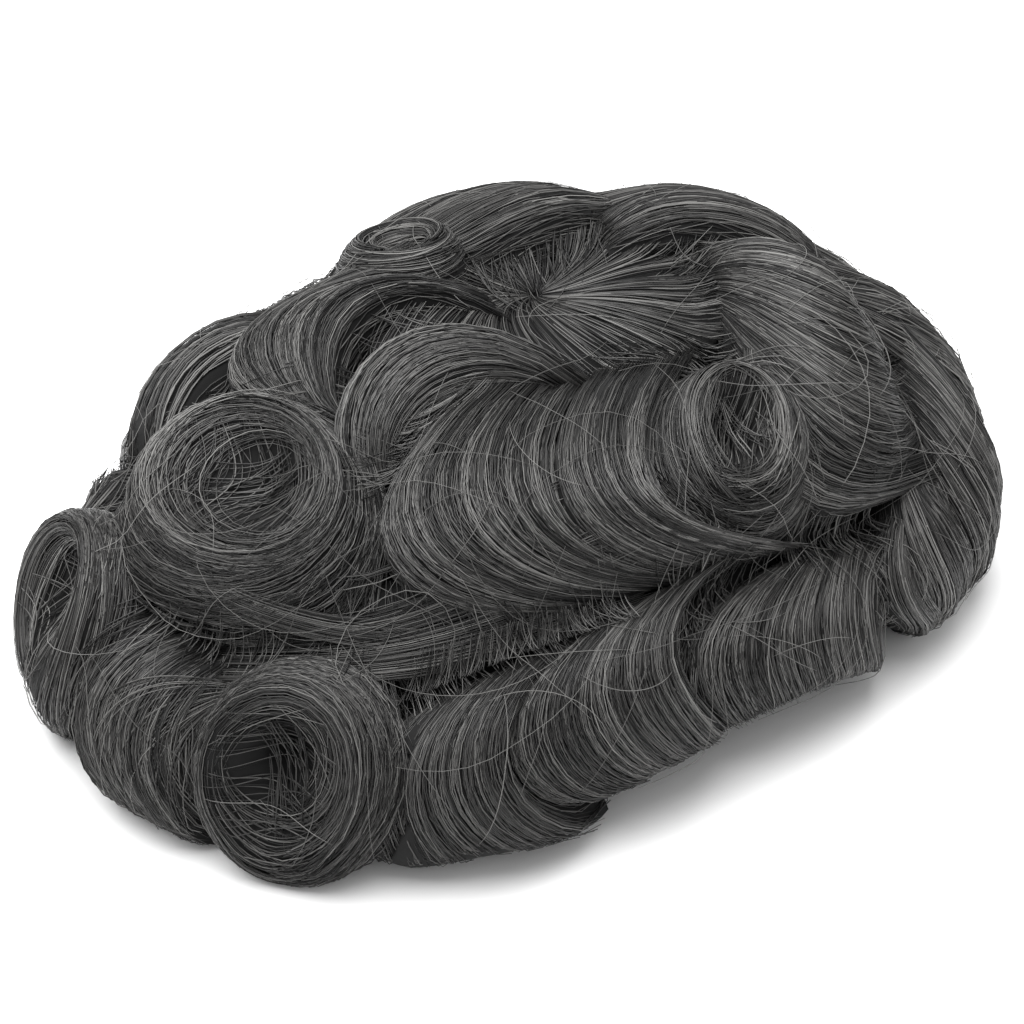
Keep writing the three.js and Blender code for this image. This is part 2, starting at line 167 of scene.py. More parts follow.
class StrandMesh:
    """Joins strands, each a closed three sided tube, and bodies under them into one mesh."""

    SIDES = 3

    def __init__(self) -> None:
        """Start with nothing in it."""
        self.points: list[np.ndarray] = []
        self.shades: list[np.ndarray] = []
        self.quads: list[np.ndarray] = []
        self.triangles: list[np.ndarray] = []
        self.count = 0

    def add_strands(
        self, points: np.ndarray, normals: np.ndarray, widths: np.ndarray, shades: np.ndarray
    ) -> None:
        """Add tubes along paths.

        Args:
            points: Paths, one row of points for each strand.
            normals: The way out of the hair at each point.
            widths: The tube's width at each point.
            shades: How light the hair is at each point, from 0 to 1.
        """
        strands, rows = points.shape[:2]
        tangents = np.gradient(points, axis=1)
        tangents /= np.maximum(np.linalg.norm(tangents, axis=-1, keepdims=True), NO_LENGTH)
        outward = normals - tangents * (normals * tangents).sum(-1, keepdims=True)
        outward /= np.maximum(np.linalg.norm(outward, axis=-1, keepdims=True), NO_LENGTH)
        sideways = np.cross(tangents, outward)
        angles = np.pi / 2 + 2 * np.pi * np.arange(self.SIDES) / self.SIDES
        ring = outward[:, :, None] * np.sin(angles)[:, None] + sideways[:, :, None] * np.cos(angles)[:, None]
        tube = points[:, :, None] + ring * (widths / 2)[:, :, None, None]
        index = np.arange(strands * rows * self.SIDES).reshape(strands, rows, self.SIDES) + self.count
        after = np.roll(index, -1, axis=2)
        quads = np.stack([index[:, :-1], after[:, :-1], after[:, 1:], index[:, 1:]], -1)
        self.quads.append(quads.reshape(-1, 4))
        self.triangles.append(index[:, 0, ::-1])
        self.triangles.append(index[:, -1])
        self.points.append(tube.reshape(-1, 3))
        self.shades.append(np.repeat(shades.reshape(-1), self.SIDES))
        self.count += tube.size // 3

    def add_body(self, shell: bmesh.types.BMesh, shade: float) -> None:
        """Add a closed body and let go of its bmesh.

        Args:
            shell: The body.
            shade: How light it is.
        """
        bmesh.ops.triangulate(shell, faces=shell.faces[:])
        shell.verts.index_update()
        points = np.array([vertex.co for vertex in shell.verts])
        self.points.append(points)
        self.shades.append(np.full(len(points), shade))
        faces = np.array([[vertex.index for vertex in face.verts] for face in shell.faces])
        self.triangles.append(faces + self.count)
        self.count += len(points)
        shell.free()

    def build(self, name: str, material: bpy.types.Material, slot: str, node: str | None) -> bpy.types.Object:
        """Make the object, link it to the scene, hang it on the root body and hide the solid that it
        replaces.

        Args:
            name: The piece's name.
            material: Its finish.
            slot: The record's material slot that it belongs to; not used.
            node: The solid that it replaces, if any.

        Returns:
            The object, linked to the scene.
        """
        points = np.concatenate(self.points)
        quads = np.concatenate(self.quads) if self.quads else np.zeros((0, 4), int)
        triangles = np.concatenate(self.triangles)
        loops = np.concatenate([quads.ravel(), triangles.ravel()])
        sizes = np.concatenate([np.full(len(quads), 4), np.full(len(triangles), 3)])
        mesh = bpy.data.meshes.new(name)
        mesh.vertices.add(len(points))
        mesh.vertices.foreach_set("co", points.astype(np.float32).ravel())
        mesh.loops.add(len(loops))
        mesh.loops.foreach_set("vertex_index", loops.astype(np.int32))
        mesh.polygons.add(len(sizes))
        mesh.polygons.foreach_set("loop_start", (np.cumsum(sizes) - sizes).astype(np.int32))
        mesh.polygons.foreach_set("use_smooth", np.ones(len(sizes), bool))
        mesh.update(calc_edges=True)
        shade = mesh.attributes.new(SHADE, "FLOAT", "POINT")
        shade.data.foreach_set("value", np.concatenate(self.shades).astype(np.float32))
        mesh.materials.append(material)
        piece = bpy.data.objects.new(name, mesh)
        bpy.context.scene.collection.objects.link(piece)
        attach(piece, "root")
        if node:
            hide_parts(node)
        log.info("%s: %d triangles", name, 2 * len(quads) + len(triangles))
        return piece


@dataclass(frozen=True)
class HairFinish:
    """Salt and pepper hair: each strand has its own shade, which drifts along it and is lowered by painted
    shade at its ends and in deep hair.

    Attributes:
        name: The material's name.
        dark: The darkest hair.
        middle: The common grey.
        light: The white hairs.
        roughness: How broad the sheen is on a strand.
        body_roughness: How broad it is on the dark bodies.
        middle_shade: The shade that has the common grey.
        light_shade: The shade from which hair is white.
        specular: How strong it is.
    """

    name: str
    dark: Colour = (0.004, 0.004, 0.004)
    middle: Colour = (0.043, 0.042, 0.041)
    light: Colour = (0.2, 0.197, 0.19)
    roughness: float = 0.42
    body_roughness: float = 0.95
    middle_shade: float = 0.32
    light_shade: float = 0.8
    specular: float = 0.34

    def material(self) -> bpy.types.Material:
        """Build the node material.

        Returns:
            The material, which reads each point's shade.
        """
        material = bpy.data.materials.new(self.name)
        material.use_nodes = True
        nodes, links = material.node_tree.nodes, material.node_tree.links
        shader = nodes["Principled BSDF"]
        shader.inputs["Specular IOR Level"].default_value = self.specular
        shade = nodes.new("ShaderNodeAttribute")
        shade.attribute_name = SHADE
        sheen = nodes.new("ShaderNodeMapRange")
        sheen.inputs["From Min"].default_value, sheen.inputs["From Max"].default_value = -0.2, 0.1
        sheen.inputs["To Min"].default_value = self.body_roughness
        sheen.inputs["To Max"].default_value = self.roughness
        links.new(shade.outputs["Fac"], sheen.inputs["Value"])
        links.new(sheen.outputs["Result"], shader.inputs["Roughness"])
        ramp = nodes.new("ShaderNodeValToRGB")
        stops = ramp.color_ramp.elements
        stops[0].position, stops[0].color = 0.0, (*self.dark, 1)
        stops[1].position, stops[1].color = self.light_shade, (*self.light, 1)
        stops.new(self.middle_shade).color = (*self.middle, 1)
        links.new(shade.outputs["Fac"], ramp.inputs["Fac"])
        links.new(ramp.outputs["Color"], shader.inputs["Base Color"])
        return material


@dataclass(frozen=True)
class LaceFinish:
    """Fine net over a darker ground.

    Attributes:
        name: The material's name.
        thread: The net's colour.
        ground: What shows between its threads.
        mesh: How many holes there are to a metre.
        thread_width: How far from a thread's middle the net has its full colour, as a share of a hole.
        hole: From where on the ground shows.
    """

    name: str
    thread: Colour = (0.32, 0.25, 0.19)
    # The default ground is the dark hair seen through the holes, with painted shade in them.
    ground: Colour = (0.05, 0.04, 0.035)
    mesh: float = 620.0
    thread_width: float = 0.1
    hole: float = 0.16

    def material(self) -> bpy.types.Material:
        """Build the node material.

        Returns:
            The material, whose net lies in the piece's own frame.
        """
        material = bpy.data.materials.new(self.name)
        material.use_nodes = True
        nodes, links = material.node_tree.nodes, material.node_tree.links
        shader = nodes["Principled BSDF"]
        shader.inputs["Roughness"].default_value = 0.75
        place = nodes.new("ShaderNodeTexCoord")
        cells = nodes.new("ShaderNodeTexVoronoi")
        cells.feature = "DISTANCE_TO_EDGE"
        cells.inputs["Scale"].default_value = self.mesh
        ramp = nodes.new("ShaderNodeValToRGB")
        stops = ramp.color_ramp.elements
        stops[0].position, stops[0].color = self.thread_width, (*self.thread, 1)
        stops[1].position, stops[1].color = self.hole, (*self.ground, 1)
        links.new(place.outputs["Object"], cells.inputs["Vector"])
        links.new(cells.outputs["Distance"], ramp.inputs["Fac"])
        links.new(ramp.outputs["Color"], shader.inputs["Base Color"])
        return material


def draped_shell(
    place: Callable[[np.ndarray, np.ndarray, bool], np.ndarray], across: int, along: int
) -> bmesh.types.BMesh:
    """Drape a grid over the hair and close it underneath.

    Args:
        place: Gives points for two shares of the grid, on the outer face or, where the last argument is true,
            on the inner one.
        across: Faces across the grid.
        along: Faces along the grid.

    Returns:
        A closed body.
    """
    shell = bmesh.new()
    bmesh.ops.create_grid(shell, x_segments=across, y_segments=along, size=0.5)
    first = shell.verts.layers.float.new("across")
    second = shell.verts.layers.float.new("along")

    def settle(vertices: list[bmesh.types.BMVert], inner: bool) -> None:
        """Move vertices to their places on the outer or the inner face.

        Args:
            vertices: The vertices, each with its shares.
            inner: Whether they go to the inner face.
        """
        shares = np.array([(vertex[first], vertex[second]) for vertex in vertices])
        for vertex, point in zip(vertices, place(shares[:, 0], shares[:, 1], inner)):
            vertex.co = point

    for vertex in shell.verts:
        vertex[first], vertex[second] = vertex.co.x + 0.5, vertex.co.y + 0.5
    settle(shell.verts[:], False)
    bmesh.ops.remove_doubles(shell, verts=shell.verts[:], dist=0.02 * MM)
    grown = bmesh.ops.extrude_face_region(shell, geom=shell.faces[:], use_keep_orig=True)
    settle([item for item in grown["geom"] if isinstance(item, bmesh.types.BMVert)], True)
    bmesh.ops.recalc_face_normals(shell, faces=shell.faces[:])
    return shell


@dataclass(frozen=True)
class EdgeStrand:
    """One combed strand on the scalp map, by its root, two bends and tip."""

    root: Pair
    bend: Pair
    turn: Pair
    tip: Pair

    def points(self) -> np.ndarray:
        """The four points as an array."""
        return np.array([self.root, self.bend, self.turn, self.tip])


PAST_TIP = 0.04


def between(first: EdgeStrand, last: EdgeStrand, across: np.ndarray, along: np.ndarray) -> np.ndarray:
    """Find map places between two edge strands.

    Args:
        first: The strand at share 0 across.
        last: The strand at share 1 across.
        across: Shares across.
        along: Shares from root to tip.

    Returns:
        The places, with a last axis of two.
    """
    along = np.clip(along, 0, 1 + PAST_TIP)
    back = 1 - along
    weights = np.stack([back**3, 3 * along * back**2, 3 * along**2 * back, along**3], -1)
    start, end = weights @ first.points(), weights @ last.points()
    return start + (end - start) * across[..., None]


@dataclass(frozen=True)
class SweptLock:
    """A lock that sweeps from a row of roots to a row of tips.

    Attributes:
        name: The solid that it replaces.
        side: Near or far from the camera.
        layer: Which locks it lies over, those with a lower layer.
        first: The strand at one edge.
        last: The strand at the other edge.
        lifts: Heights of root, crest and tip as shares of the hair's depth.
        ends: How much of the crest is left at the first and the last strand.
    """

    name: str
    side: Side
    layer: int
    first: EdgeStrand
    last: EdgeStrand
    lifts: tuple[float, float, float]
    ends: Pair

    PLUMP = 0.8
    SHOULDER = 0.35
    BORDER_ACROSS = 0.2
    BORDER_ALONG = 0.125
    BORDER_DROP = 4 * MM
    TUCK = 22 * MM
    TUCK_SHARE = 0.12
    WALL = 15 * MM
    WALL_SHARE = 0.07
    FEWEST_TUFTS = 4.0
    ROOT_SPREAD = 0.06
    LONGEST = 1.1
    SHORTER = 0.16
    WANDER = 0.011
    STRAYING = 0.09

    def surface(self, across: np.ndarray, along: np.ndarray) -> tuple[np.ndarray, np.ndarray, np.ndarray]:
        """Find the combed surface on the map, and how high it is over the cap.

        Args:
            across: Shares from the first strand to the last, which may run a little past either.
            along: Shares from the roots to the tips. Past the tips the surface turns down.

        Returns:
            The places p and q, and the lifts.
        """
        spot = between(self.first, self.last, np.clip(across, -0.01, 1.01), along)
        root, crest, tip = self.lifts
        held, run = np.clip(across, 0, 1), np.clip(along, 0, 1)
        rise = np.sin(np.clip(held / self.SHOULDER, 0, 1) * np.pi / 2)
        fall = np.sin(np.clip((1 - held) / self.SHOULDER, 0, 1) * np.pi / 2)
        share = (self.ends[0] + (1 - self.ends[0]) * rise) * (self.ends[1] + (1 - self.ends[1]) * fall)
        ends = root * (1 - run) + tip * run
        arch = (crest - (root + tip) / 2) * share * np.sin(np.pi * run) ** self.PLUMP
        beside = 1 - np.minimum(held, 1 - held) / self.BORDER_ACROSS
        beyond = 1 - np.minimum(run, 1 - run) / self.BORDER_ALONG
        lift = SCALP.hair_depth * (ends + arch)
        lift = lift - self.BORDER_DROP * np.clip(np.maximum(beside, beyond), 0, 1) ** 1.5
        return spot[..., 0], spot[..., 1], lift - self.TUCK * np.clip(along - 1, 0, 1) / self.TUCK_SHARE

    def width(self) -> float:
        """Measure the lock at its middle.

        Returns:
            How wide it is.
        """
        p, q, lift = self.surface(np.linspace(0, 1, 20), np.full(20, 0.5))
        points = SCALP.place(p, q, lift)[0]
        return float(np.linalg.norm(np.diff(points, axis=0), axis=-1).sum())

    def paths(self, combing: Combing, count: int, random: np.random.Generator) -> tuple[np.ndarray, ...]:
        """Comb strands over the lock.

        Args:
            combing: How they are laid.
            count: How many.
            random: The source of chance.

        Returns:
            The places p and q, the lifts, how far each point hangs down a side wall, and each strand's tuft.
        """
        rows = combing.steps + 1
        rank = (np.arange(count) + random.random(count)) / count
        share = rank * (1 + 2 * self.WALL_SHARE) - self.WALL_SHARE
        tufts = max(self.FEWEST_TUFTS, self.width() / combing.tuft)
        tuft = np.floor(share * tufts + 0.35 * random.standard_normal(count))
        middle = (tuft + 0.5 + 0.4 * (random.random(count) - 0.5)) / tufts
        start = self.ROOT_SPREAD * random.random(count) - self.ROOT_SPREAD / 6
        stop = self.LONGEST - self.SHORTER * random.random(count) ** 1.5
        along = start[:, None] + (stop - start)[:, None] * np.linspace(0, 1, rows)
        pull = combing.gather * np.clip(along, 0, 1) ** 1.3
        phase = 2 * np.pi * random.random(count)
        pace = 2 * np.pi * (0.5 + 0.8 * random.random(count))
        wander = self.WANDER * np.sin(along * pace[:, None] + phase[:, None])
        stray = (random.random(count) < combing.crossing) * random.standard_normal(count) * self.STRAYING
        across = share[:, None] * (1 - pull) + middle[:, None] * pull
        across = across + wander + stray[:, None] * (along - 0.4)
        p, q, lift = self.surface(across, along)
        beyond = np.maximum(np.maximum(-across, across - 1), 0) / self.WALL_SHARE
        return p, q, lift, self.WALL * beyond, tuft

    def shell_surface(self, first: np.ndarray, second: np.ndarray) -> tuple[np.ndarray, ...]:
        """The same surface for shares of a grid."""
        return self.surface(first, second)


@dataclass(frozen=True)
class Swirl:
    """One family of strands about a curl's eye, fanned out midway and gathered at its ends.

    Attributes:
        share: Which part of the curl's strands it has.
        start: Where they begin, in degrees about the eye.
        sweep: How far they go round, in degrees.
        inner: How near to the eye the first of them runs.
        outer: How far out the last of them runs.
        entry: How far out they gather where they begin.
        leave: How far out they gather where they end.
        gather: How much of the fan is gone at either end.
        spread: How far the beginnings are strewn, in radians.
    """

    share: float
    start: float
    sweep: float
    inner: float
    outer: float
    entry: float
    leave: float
    gather: float = 0.65
    spread: float = 0.25


@dataclass(frozen=True)
class RoundCurl:
    """A round curl with a dimple at its eye.

    Attributes:
        name: The solid that it replaces.
        side: Near or far from the camera.
        layer: Which locks it lies over, those with a lower layer.
        eye: The dimple's place on the scalp map.
        centre: The middle of its rim.
        spans: Half widths of its rim.
        tilt: The turn of the rim in degrees.
        lifts: Heights of eye, crest and foot as shares of the hair's depth.
        chords: Which part of its strands crosses the dimple, and their heading in degrees.
        swirls: The families of its other strands.
    """

    name: str
    side: Side
    layer: int
    eye: Pair
    centre: Pair
    spans: Pair
    tilt: float
    lifts: tuple[float, float, float]
    chords: Pair
    swirls: tuple[Swirl, ...]

    CREST_OUT = 0.6
    EYE_BLUNT = 0.1
    NEAREST = 0.04
    LIP = 1.02
    PAST_LIP = 0.3
    WALL = 55 * MM
    TUFTS = 14
    CHORD_REACH = 0.4
    CHORD_TUFTS = 20

    def surface(self, angle: np.ndarray, out: np.ndarray) -> tuple[np.ndarray, np.ndarray, np.ndarray]:
        """Find the combed surface on the map, and how high it is over the cap.

        Args:
            angle: Angles about the eye, in radians.
            out: Shares from the eye to the rim, which may run past it.

        Returns:
            The places p and q, and the lifts.
        """
        turn = math.radians(self.tilt)
        x, y = self.spans[0] * out * np.cos(angle), self.spans[1] * out * np.sin(angle)
        p = self.eye[0] + (self.centre[0] - self.eye[0]) * out + x * math.cos(turn) - y * math.sin(turn)
        q = self.eye[1] + (self.centre[1] - self.eye[1]) * out + x * math.sin(turn) + y * math.cos(turn)
        eye, crest, foot = self.lifts
        climb = np.sin(np.clip(np.hypot(out, self.EYE_BLUNT) / self.CREST_OUT, 0, 1) * np.pi / 2) ** 1.2
        beyond = np.clip((out - self.CREST_OUT) / (1 - self.CREST_OUT), 0, 1)
        fall = 1 - np.cos(beyond * np.pi / 2)
        rim = np.where(out < self.CREST_OUT, eye + (crest - eye) * climb, crest - (crest - foot) * fall)
        return p, q, SCALP.hair_depth * rim

    def width(self) -> float:
        """Measure the curl from its eye to its rim.

        Returns:
            That way and a little more, which says how many strands it has room for.
        """
        p, q, lift = self.surface(np.zeros(20), np.linspace(0, 1, 20))
        points = SCALP.place(p, q, lift)[0]
        return 1.2 * float(np.linalg.norm(np.diff(points, axis=0), axis=-1).sum())

    def paths(self, combing: Combing, count: int, random: np.random.Generator) -> tuple[np.ndarray, ...]:
        """Comb strands around the curl.

        Args:
            combing: How they are laid.
            count: How many.
            random: The source of chance.

        Returns:
            The places p and q, the lifts, how far each point hangs down a side wall, and each strand's tuft.
        """
        rows = combing.steps + 4
        way = np.linspace(0, 1, rows)
        angles, outs, tufts = [], [], []
        for swirl in self.swirls:
            strands = max(2, round(count * swirl.share))
            rank = (np.arange(strands) + random.random(strands)) / strands
            level = (swirl.inner + (swirl.outer - swirl.inner) * rank**0.8)[:, None]
            begin = math.radians(swirl.start) + swirl.spread * random.standard_normal(strands)
            length = math.radians(swirl.sweep) * (0.8 + 0.3 * random.random(strands))
            angle = begin[:, None] + length[:, None] * way
            entry = swirl.gather * (swirl.entry - level) * (1 - way) ** 2.2
            leave = swirl.gather * (swirl.leave - level) * way**2.2
            wave = 0.03 * np.sin(angle * 1.7 + level * 23 + random.random(strands)[:, None])
            angles.append(angle)
            outs.append(np.maximum(level * (1 + wave) + entry + leave, self.NEAREST))
            tuft = np.floor(rank * self.TUFTS + 0.3 * random.standard_normal(strands))
            tufts.append(tuft + 40 * len(tufts))
        strands = round(count * self.chords[0])
        heading = math.radians(self.chords[1]) + 0.12 * random.standard_normal(strands)[:, None]
        aside = 0.5 * (2 * random.random(strands) - 1)[:, None]
        room = np.sqrt(self.CHORD_REACH - aside**2)
        run = (2 * way - 1) * room * (0.6 + 0.5 * random.random(strands))[:, None]
        aside = aside + 0.25 * (run**2 - 0.1) + 0.1 * run * random.standard_normal(strands)[:, None]
        x = run * np.cos(heading) - aside * np.sin(heading)
        y = run * np.sin(heading) + aside * np.cos(heading)
        angles.append(np.arctan2(y, x))
        outs.append(np.hypot(x, y))
        tufts.append(np.floor(aside[:, 0] * self.CHORD_TUFTS) + 40 * len(tufts))
        out = np.concatenate(outs)
        past = np.maximum(out - self.LIP, 0)
        held = np.minimum(out, self.LIP + self.PAST_LIP * past)
        p, q, lift = self.surface(np.concatenate(angles), held)
        return p, q, lift, self.WALL * past, np.concatenate(tufts)

    def shell_surface(self, first: np.ndarray, second: np.ndarray) -> tuple[np.ndarray, ...]:
        """The same surface for shares of a grid."""
        return self.surface(first * 2 * np.pi, second)


Lock = SweptLock | RoundCurl


def edge(root: Pair, bend: Pair, turn: Pair, tip: Pair) -> EdgeStrand:
    """A short name for an edge strand, for the tables."""
    return EdgeStrand(root, bend, turn, tip)


SWEPT_LOCKS = (
    SweptLock(
        "parting_sweep", Side.NEAR, 2,
        edge((0.64, -0.08), (0.54, -0.5), (0.44, -0.6), (0.2, -0.76)),
        edge((0.34, -0.02), (0.34, -0.34), (0.3, -0.46), (0.1, -0.6)),
        (0.31, 0.45, 0.31), (0.8, 0.8),
    ),
    SweptLock(
        "front_roll", Side.NEAR, 3,
        edge((0.53, -0.57), (0.52, -0.7), (0.52, -0.76), (0.78, -0.9)),
        edge((0.6, -0.23), (0.61, -0.56), (0.8, -0.56), (1.03, -0.38)),
        (0.4, 0.84, 0.56), (0.75, 0.95),
    ),
    SweptLock(
        "temple_roll", Side.NEAR, 4,
        edge((0.6, -0.23), (0.61, -0.55), (0.8, -0.55), (1.04, -0.36)),
        edge((0.6, 0.08), (0.65, -0.26), (0.9, -0.12), (1.03, -0.02)),
        (0.4, 0.68, 0.3), (1, 0.8),
    ),
    SweptLock(
        "side_roll", Side.NEAR, 5,
        edge((0.66, 0.19), (0.67, -0.1), (0.78, -0.2), (1.02, -0.03)),
        edge((0.68, 0.46), (0.86, 0.26), (1, 0.4), (1.01, 0.58)),
        (0.34, 0.6, 0.38), (0.9, 0.9),
    ),
    SweptLock(
        "side_hook", Side.NEAR, 6,
        edge((0.58, 0.46), (0.86, 0.2), (0.87, 0.42), (0.94, 0.65)),
        edge((0.6, 0.5), (0.87, 0.3), (0.87, 0.6), (0.81, 0.82)),
        (0.5, 0.7, 0.5), (0.9, 0.9),
    ),
    SweptLock(
        "nape_fall_low", Side.NEAR, 7,
        edge((0.57, 0.44), (0.76, 0.34), (0.78, 0.38), (0.93, 0.66)),
        edge((0.48, 0.52), (0.73, 0.48), (0.7, 0.6), (0.8, 0.82)),
        (0.6, 0.83, 0.62), (0.85, 0.9),
    ),
    SweptLock(
        "nape_fall_high", Side.NEAR, 8,
        edge((0.48, 0.52), (0.72, 0.48), (0.7, 0.58), (0.82, 0.8)),
        edge((0.04, 0.72), (0.48, 0.6), (0.46, 0.68), (0.56, 0.99)),
        (0.66, 0.92, 0.74), (0.95, 0.85),
    ),
    SweptLock(
        "nape_roll_right", Side.FAR, 5,
        edge((0.22, 0.5), (0.38, 0.68), (0.5, 0.84), (0.5, 1.02)),
        edge((-0.1, 0.58), (0, 0.76), (0.04, 0.94), (0.08, 1.12)),
        (0.45, 0.86, 0.62), (0.85, 0.95),
    ),
    SweptLock(
        "nape_roll_left", Side.FAR, 4,
        edge((-0.06, 0.58), (0.02, 0.76), (0.05, 0.94), (0.08, 1.12)),
        edge((-0.4, 0.46), (-0.46, 0.66), (-0.54, 0.82), (-0.52, 1.02)),
        (0.45, 0.84, 0.66), (0.9, 0.85),
    ),
    SweptLock(
        "left_back_roll", Side.FAR, 5,
        edge((-0.36, 0.5), (-0.48, 0.68), (-0.56, 0.82), (-0.52, 1)),
        edge((-0.5, 0.02), (-0.74, 0.1), (-0.94, 0.2), (-1.06, 0.36)),
        (0.42, 0.78, 0.62), (0.85, 0.85),
    ),
    SweptLock(
        "left_side_roll", Side.FAR, 4,
        edge((-0.5, 0.08), (-0.74, 0.14), (-0.94, 0.22), (-1.08, 0.34)),
        edge((-0.5, -0.26), (-0.74, -0.28), (-0.96, -0.24), (-1.12, -0.14)),
        (0.42, 0.72, 0.45), (0.9, 0.9),
    ),
    SweptLock(
        "left_front_roll", Side.FAR, 3,
        edge((-0.48, -0.2), (-0.74, -0.26), (-0.96, -0.2), (-1.12, -0.12)),
        edge((-0.36, -0.5), (-0.56, -0.58), (-0.8, -0.62), (-0.96, -0.58)),
        (0.42, 0.6, 0.4), (0.9, 0.75),
    ),
    SweptLock(
        "front_left_roll", Side.NEAR, 4,
        edge((-0.06, -0.75), (-0.14, -0.88), (-0.11, -1), (0.1, -1.13)),
        edge((0.19, -0.72), (0.17, -0.88), (0.22, -0.94), (0.44, -1.03)),
        (0.44, 0.9, 0.68), (0.9, 0.9),
    ),
    SweptLock(
        "left_bump", Side.FAR, 6,
        edge((-0.34, -0.24), (-0.39, -0.32), (-0.38, -0.4), (-0.33, -0.5)),
        edge((-0.54, -0.16), (-0.62, -0.26), (-0.62, -0.42), (-0.52, -0.56)),
        (0.66, 0.8, 0.6), (1, 0.7),
    ),
    SweptLock(
        "far_strip", Side.NEAR, 8,
        edge((-0.26, 0), (-0.24, 0.12), (-0.24, 0.26), (-0.28, 0.42)),
        edge((-0.56, -0.06), (-0.62, 0.1), (-0.64, 0.26), (-0.56, 0.44)),
        (0.7, 0.94, 0.8), (1, 0.6),
    ),
    SweptLock(
        "back_strip", Side.NEAR, 9,
        edge((-0.16, 0.27), (-0.14, 0.38), (-0.1, 0.48), (0.02, 0.6)),
        edge((-0.42, 0.36), (-0.46, 0.52), (-0.38, 0.68), (-0.14, 0.8)),
        (0.7, 0.92, 0.78), (1, 0.7),
    ),
    SweptLock(
        "crown_arch", Side.NEAR, 9,
        edge((-0.39, 0.08), (-0.44, -0.4), (-0.3, -0.4), (-0.12, -0.34)),
        edge((-0.05, 0.02), (-0.32, -0.02), (-0.28, -0.24), (-0.04, -0.29)),
        (0.6, 0.86, 0.42), (0.85, 0.9),
    ),
    SweptLock(
        "crown_hook", Side.NEAR, 9,
        edge((0.16, 0.31), (0.52, 0.06), (0.68, 0.13), (0.6, 0.5)),
        edge((0.2, 0.36), (0.45, 0.2), (0.58, 0.27), (0.52, 0.52)),
        (0.5, 0.78, 0.55), (0.9, 0.8),
    ),
    SweptLock(
        "lower_arch", Side.NEAR, 10,
        edge((0.17, 0.03), (-0.26, -0.08), (-0.03, -0.38), (0.1, -0.36)),
        edge((0.16, -0.03), (0.08, -0.12), (0.06, -0.26), (0.12, -0.3)),
        (0.56, 0.88, 0.38), (1, 0.6),
    ),
    SweptLock(
        "top_roll_front", Side.NEAR, 10,
        edge((0.08, -0.14), (0.16, -0.5), (0.42, -0.48), (0.54, -0.26)),
        edge((0.12, 0.06), (0.32, -0.22), (0.47, -0.26), (0.61, -0.02)),
        (0.5, 0.86, 0.36), (0.8, 1),
    ),
    SweptLock(
        "top_roll_back", Side.NEAR, 11,
        edge((0.12, 0.06), (0.33, -0.22), (0.48, -0.26), (0.61, -0.02)),
        edge((0.15, 0.25), (0.5, -0.26), (0.61, 0.02), (0.66, 0.26)),
        (0.5, 0.9, 0.36), (1, 0.8),
    ),
    SweptLock(
        "crown_roll", Side.NEAR, 12,
        edge((-0.12, 0.42), (-0.04, 0.46), (0.02, 0.5), (0.06, 0.56)),
        edge((0.12, 0.3), (0.42, 0.18), (0.66, 0.26), (0.52, 0.5)),
        (0.56, 0.96, 0.76), (0.8, 0.9),
    ),
)

ROUND_CURLS = (
    RoundCurl(
        "crown_whorl", Side.NEAR, 1, (-0.17, 0.13), (-0.15, 0.14), (0.34, 0.3), 0,
        (0.3, 0.52, 0.42), (0, 0),
        tuple(Swirl(0.25, turn, 45, 0.4, 0.7, 0.04, 1.15, 1, 0.5) for turn in (0, 90, 180, 270)),
    ),
    RoundCurl(
        "left_curl", Side.NEAR, 5, (0, -0.44), (-0.05, -0.52), (0.34, 0.22), 0,
        (0.36, 0.82, 0.33), (0.12, 115),
        (Swirl(0.5, 60, 300, 0.42, 1.1, 1.1, 0.6, 0.6), Swirl(0.13, 130, -230, 0.35, 0.8, 0.6, 0.5),
         Swirl(0.1, 60, 300, 0.14, 0.6, 0.5, 0.7), Swirl(0.19, 140, -230, 0.7, 1.14, 0.9, 1.05, 0.3)),
    ),
    RoundCurl(
        "far_front_curl", Side.FAR, 5, (-0.52, -0.72), (-0.56, -0.76), (0.22, 0.22), 30,
        (0.3, 0.6, 0.4), (0.1, 90),
        (Swirl(0.6, 90, 280, 0.3, 1.0, 0.8, 0.9), Swirl(0.3, 200, 300, 0.1, 0.6, 0.5, 0.5)),
    ),
    RoundCurl(
        "end_curl", Side.NEAR, 6, (-0.22, -0.77), (-0.28, -0.88), (0.25, 0.23), 0,
        (0.3, 0.92, 0.55), (0.08, 135),
        (Swirl(0.5, 50, 250, 0.45, 1.1, 0.7, 1.0), Swirl(0.28, 80, -160, 0.3, 1.14, 0.7, 0.9),
         Swirl(0.15, 70, 200, 0.2, 0.6, 0.5, 0.5)),
    ),
    RoundCurl(
        "front_ring", Side.NEAR, 7, (0.4, -0.76), (0.45, -0.81), (0.23, 0.24), 0,
        (0.3, 0.88, 0.5), (0.06, 25),
        (Swirl(0.38, 200, -260, 0.45, 1.1, 1.0, 0.5, 0.6), Swirl(0.34, 165, 255, 0.55, 1.14, 0.9, 1.1, 0.4),
         Swirl(0.14, 215, 120, 0.3, 0.9, 0.7, 0.5, 0.3), Swirl(0.08, 180, -230, 0.2, 0.6, 0.6, 0.3)),
    ),
    RoundCurl(
        "top_curl", Side.NEAR, 10, (0.385, 0.146), (0.43, 0.13), (0.2, 0.14), -20,
        (0.36, 0.84, 0.44), (0.2, 150),
        (Swirl(0.45, 170, -215, 0.15, 1.12, 0.85, 0.85), Swirl(0.35, 170, 170, 0.2, 1.1, 0.85, 0.85)),
    ),
    RoundCurl(
        "far_small_curl", Side.NEAR, 10, (-0.33, 0), (-0.36, 0), (0.14, 0.09), 0,
        (0.61, 0.9, 0.72), (0.1, 140),
        (Swirl(0.65, 270, -250, 0.1, 1.14, 0.5, 0.6, 0.4), Swirl(0.25, 200, 220, 0.6, 1.18, 0.9, 0.9, 0.3)),
    ),
)

LOCKS: tuple[Lock, ...] = SWEPT_LOCKS + ROUND_CURLS


